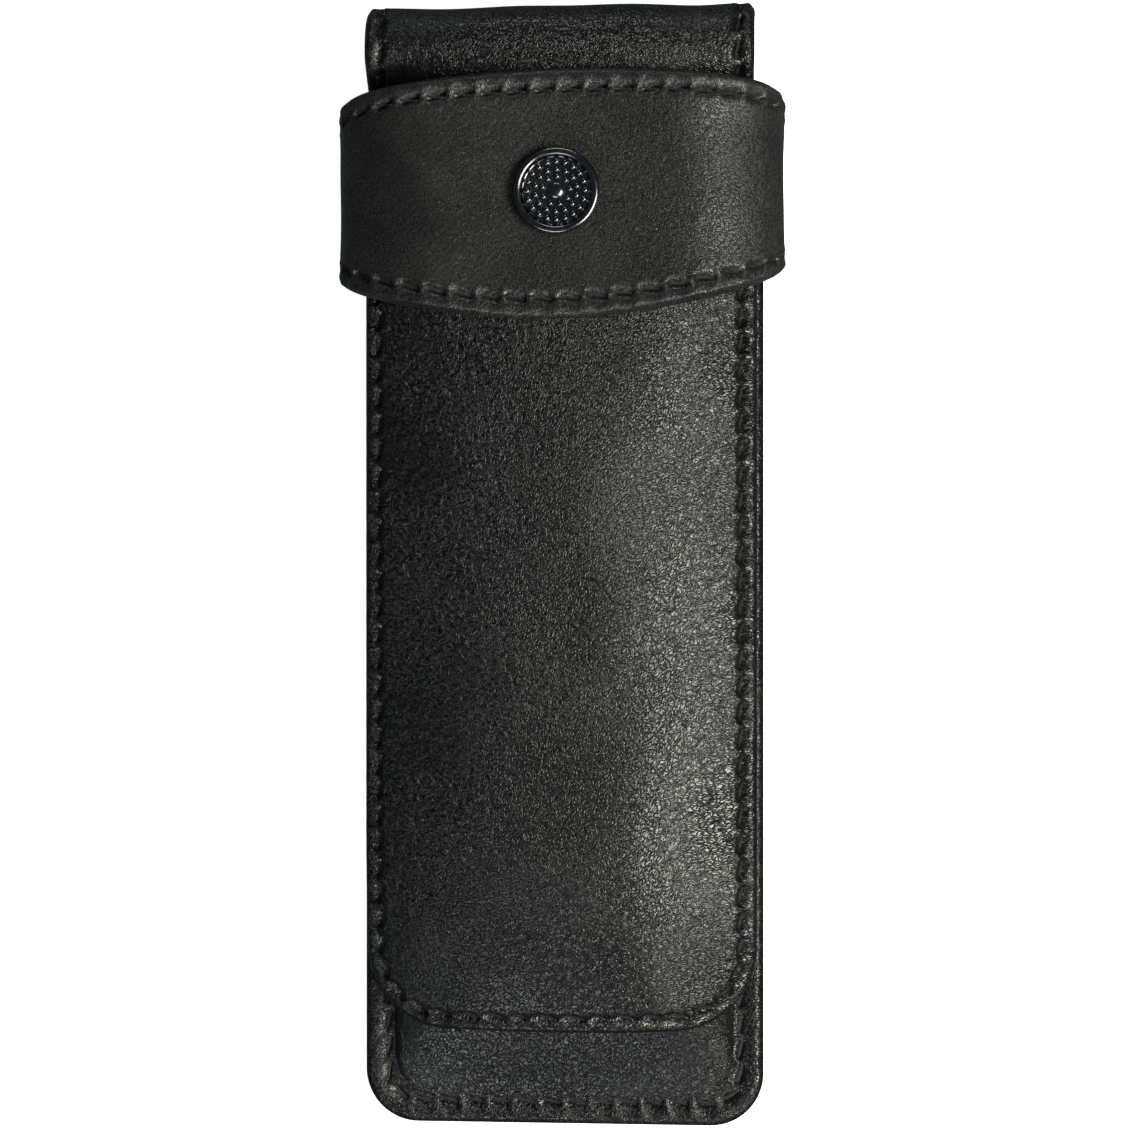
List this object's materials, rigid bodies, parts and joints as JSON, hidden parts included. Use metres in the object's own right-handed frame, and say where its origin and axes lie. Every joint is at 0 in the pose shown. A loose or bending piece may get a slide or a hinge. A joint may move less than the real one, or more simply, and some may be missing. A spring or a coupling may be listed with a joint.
{
  "type": "fountain pen case",
  "caption": "Leather pen case: a pocket under a long front flap that folds over the top and tucks beneath a fixed band with a round metal badge.",
  "frame": {"origin": "middle of the underside, halfway along the length", "axes": "+Y along the length towards the fold, +Z out of the front (flap) side, +X to the right seen from the front with the fold up"},
  "size_m": [0.0634, 0.162, 0.0246],
  "materials": {
    "outer_leather": "smooth satin nappa with fine grain",
    "lining": "matt black woven lining",
    "board": "matt pulp board",
    "padding": "matt felt padding",
    "thread": "waxed black thread",
    "gunmetal": "polished dark nickel",
    "steel": "plain stamped steel"
  },
  "bodies": {
    "case_body": {"back_panel_leather": "outer_leather", "back_stiffener": "board", "back_lining": "lining", "back_bend_leather": "outer_leather", "back_bend_lining": "lining", "pocket_front_leather": "outer_leather", "pocket_front_lining": "lining", "pen_divider": "lining", "body_stitching": "thread", "mouth_stitching": "thread", "band_leather": "outer_leather", "band_lining": "lining", "band_upper_stitching": "thread", "band_lower_stitching": "thread", "band_foot_stitching_left": "thread", "band_foot_stitching_right": "thread", "badge_cap": "gunmetal", "badge_washer": "steel"},
    "fold_wall": {"fold_wall_leather": "outer_leather", "fold_wall_lining": "lining"},
    "flap": {"front_bend_leather": "outer_leather", "front_bend_lining": "lining", "flap_neck_leather": "outer_leather", "flap_neck_lining": "lining", "flap_tail_leather": "outer_leather", "flap_tail_padding": "padding", "flap_tail_lining": "lining", "flap_stitching": "thread"}
  },
  "joints": [
    {"name": "back_fold", "type": "hinge", "parent": "case_body", "child": "fold_wall", "pos_m": [0, 0.07852, 0.00248], "axis": [-1, 0, 0], "range_deg": [0, 90], "deforming": ["back_bend_leather", "back_bend_lining"]},
    {"name": "front_fold", "type": "hinge", "parent": "fold_wall", "child": "flap", "pos_m": [0, 0.07852, 0.01832], "axis": [-1, 0, 0], "range_deg": [0, 90], "deforming": ["front_bend_leather", "front_bend_lining", "flap_neck_leather", "flap_neck_lining"]}
  ],
  "couplings": [
    {"joint": "back_fold", "follows": "front_fold", "ratio": 1}
  ]
}
